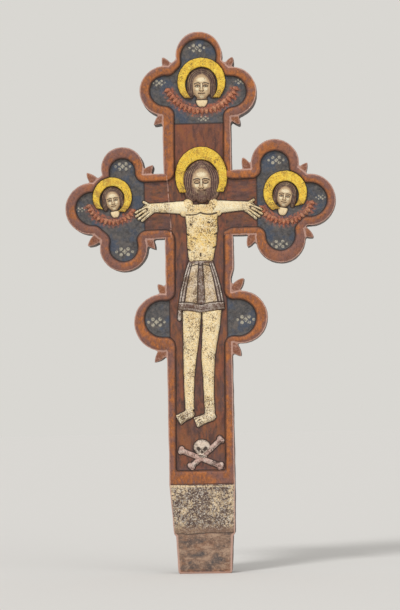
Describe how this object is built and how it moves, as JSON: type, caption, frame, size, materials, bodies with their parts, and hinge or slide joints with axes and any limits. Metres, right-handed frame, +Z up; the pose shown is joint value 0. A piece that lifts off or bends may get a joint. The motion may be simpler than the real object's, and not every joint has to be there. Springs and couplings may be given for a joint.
{
  "type": "painted wooden hand cross",
  "caption": "Flat wooden hand cross with lobed ends, a raised rim round a sunk ground, and a carved figure with outstretched arms, held by its plain foot.",
  "frame": {"origin": "middle of the foot's cut end", "axes": "+Z up the shaft towards the top lobe, -Y out of the carved front, +X to the viewer's right when facing the front"},
  "size_m": [0.1501, 0.018, 0.3],
  "materials": {
    "board_paint": "matte, worn orange-brown and dark paint",
    "bare_wood": "matte, bare aged wood",
    "flesh_paint": "matte cream paint, speckled",
    "cloth_paint": "matte cream and mauve-grey paint",
    "hair_paint": "matte dark brown paint",
    "halo_paint": "satin yellow paint with dark specks",
    "feather_paint": "matte red-orange strokes on dark paint",
    "bone_paint": "matte pinkish cream paint"
  },
  "bodies": {
    "root": {"upright": "board_paint", "crossbar": "board_paint", "lap_peg_1": "bare_wood", "lap_peg_2": "bare_wood", "lap_peg_3": "bare_wood", "lap_peg_4": "bare_wood", "corpus_body": "flesh_paint", "corpus_left_arm": "flesh_paint", "corpus_right_arm": "flesh_paint", "loincloth": "cloth_paint", "corpus_head": "hair_paint", "corpus_halo": "halo_paint", "top_angel_head": "flesh_paint", "top_angel_halo": "halo_paint", "top_angel_wings": "feather_paint", "left_angel_head": "flesh_paint", "left_angel_halo": "halo_paint", "left_angel_wings": "feather_paint", "right_angel_head": "flesh_paint", "right_angel_halo": "halo_paint", "right_angel_wings": "feather_paint", "crossbones": "bone_paint", "skull": "bone_paint"}
  },
  "joints": []
}
